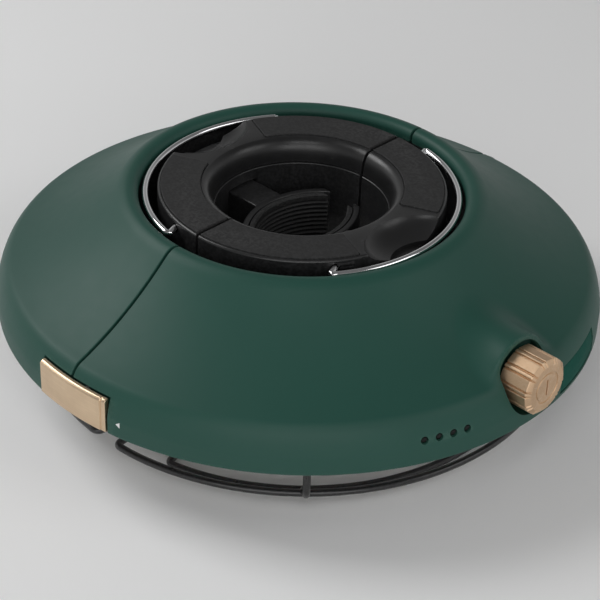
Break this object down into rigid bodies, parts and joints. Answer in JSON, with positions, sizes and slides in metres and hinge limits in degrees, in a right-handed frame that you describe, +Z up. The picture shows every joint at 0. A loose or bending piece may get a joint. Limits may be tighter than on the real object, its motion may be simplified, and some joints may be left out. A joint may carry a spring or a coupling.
{
  "type": "clamp-round camping lantern",
  "caption": "Shallow round camping lantern in two hinged halves that closes round a pole, with sprung grip jaws, fold-up hanging wires, a dimmer knob and a wire guard.",
  "frame": {"origin": "middle of the footprint, on the ground plane under the wire guard; the bore's axis is 2.4 mm to -X of it because the knob overhangs", "axes": "+Z up, -Y towards the latch plate, +Y towards the hinge, +X towards the knob"},
  "size_m": [0.2548, 0.2512, 0.0828],
  "materials": {
    "green_shell": "fine matte texture",
    "black_trim": "satin",
    "pad": "soft matte",
    "rubber": "matte",
    "green_rubber": "matte",
    "guard_wire": "black powder coat",
    "chrome": "polished",
    "brass": "brushed champagne",
    "steel": "plain",
    "diffuser": "frosted white",
    "light_board": "white solder mask",
    "circuit_board": "green solder mask",
    "cell": "shrink wrap",
    "window": "smoked"
  },
  "bodies": {
    "front_half": {"front_shell": "green_shell", "front_groove_wall": "black_trim", "front_cap": "black_trim", "front_sleeve": "black_trim", "front_tray": "black_trim", "front_bezel": "black_trim", "front_cap_pad_1": "pad", "front_cap_pad_2": "pad", "front_diffuser": "diffuser", "front_light_board": "light_board", "front_guard": "guard_wire", "front_screw_1": "steel", "front_screw_2": "steel", "front_screw_3": "steel", "front_jaw_spring": "steel", "front_hinge_leaf": "steel", "hinge_pin": "steel", "latch_pin": "steel", "latch_spring": "steel", "charge_socket": "steel", "dimmer_switch": "black_trim", "level_window_1": "window", "level_window_2": "window", "level_window_3": "window", "level_window_4": "window", "control_board": "circuit_board"},
    "front_jaw": {"front_jaw": "black_trim", "front_jaw_pad": "rubber"},
    "front_bail": {"front_bail": "chrome"},
    "rear_half": {"rear_shell": "green_shell", "rear_groove_wall": "black_trim", "rear_cap": "black_trim", "rear_sleeve": "black_trim", "rear_tray": "black_trim", "rear_bezel": "black_trim", "rear_cap_pad_1": "pad", "rear_cap_pad_2": "pad", "rear_diffuser": "diffuser", "rear_light_board": "light_board", "rear_guard": "guard_wire", "rear_screw_1": "steel", "rear_screw_2": "steel", "rear_screw_3": "steel", "rear_jaw_spring": "steel", "rear_hinge_leaf": "steel", "catch_pin": "steel", "battery_cell_1": "cell", "battery_cell_2": "cell", "battery_cradle": "black_trim"},
    "rear_jaw": {"rear_jaw": "black_trim", "rear_jaw_pad": "rubber"},
    "rear_bail": {"rear_bail": "chrome"},
    "latch": {"latch_plate": "brass"},
    "knob_turning": {"knob": "brass"},
    "knob_pushing": {"knob_spindle": "steel"},
    "port_flap": {"port_cover": "green_rubber"}
  },
  "joints": [
    {"name": "shell_hinge", "type": "hinge", "parent": "front_half", "child": "rear_half", "pos_m": [-0.00236, 0.12, 0.0395], "axis": [0, 0, -1], "range_deg": [0, 70]},
    {"name": "front_bail_swing", "type": "hinge", "parent": "front_half", "child": "front_bail", "pos_m": [0.04901, -0.0376, 0.0788], "axis": [0.3681, -0.9298, 0], "range_deg": [0, 90]},
    {"name": "rear_bail_swing", "type": "hinge", "parent": "rear_half", "child": "rear_bail", "pos_m": [-0.05373, 0.0376, 0.0788], "axis": [-0.3681, 0.9298, 0], "range_deg": [0, 90]},
    {"name": "front_jaw_slide", "type": "slide", "parent": "front_half", "child": "front_jaw", "axis": [1, 0, 0], "range_m": [0, 0.013], "stiffness_N_per_m": 220, "springref_m": -0.006, "deforming": ["front_jaw_spring"]},
    {"name": "rear_jaw_slide", "type": "slide", "parent": "rear_half", "child": "rear_jaw", "axis": [-1, 0, 0], "range_m": [0, 0.013], "stiffness_N_per_m": 220, "springref_m": -0.006, "deforming": ["rear_jaw_spring"]},
    {"name": "latch_press", "type": "hinge", "parent": "front_half", "child": "latch", "pos_m": [0.00564, -0.1215, 0.0397], "axis": [0, 0, 1], "range_deg": [0, 8], "stiffness_Nm_per_rad": 0.4, "springref_deg": -8.59, "deforming": ["latch_spring"]},
    {"name": "knob_press", "type": "slide", "parent": "front_half", "child": "knob_pushing", "axis": [-0.9999, 0, -0.0122], "range_m": [0, 0.0008], "stiffness_N_per_m": 1500, "springref_m": -0.0005},
    {"name": "knob_turn", "type": "hinge", "parent": "knob_pushing", "child": "knob_turning", "pos_m": [0.11464, 0, 0.04875], "axis": [0.9999, 0, 0.0122], "continuous": true},
    {"name": "port_cover_flap", "type": "hinge", "parent": "front_half", "child": "port_flap", "pos_m": [0.11183, 0.05084, 0.0385], "axis": [0, 0, 1], "range_deg": [0, 100]}
  ]
}
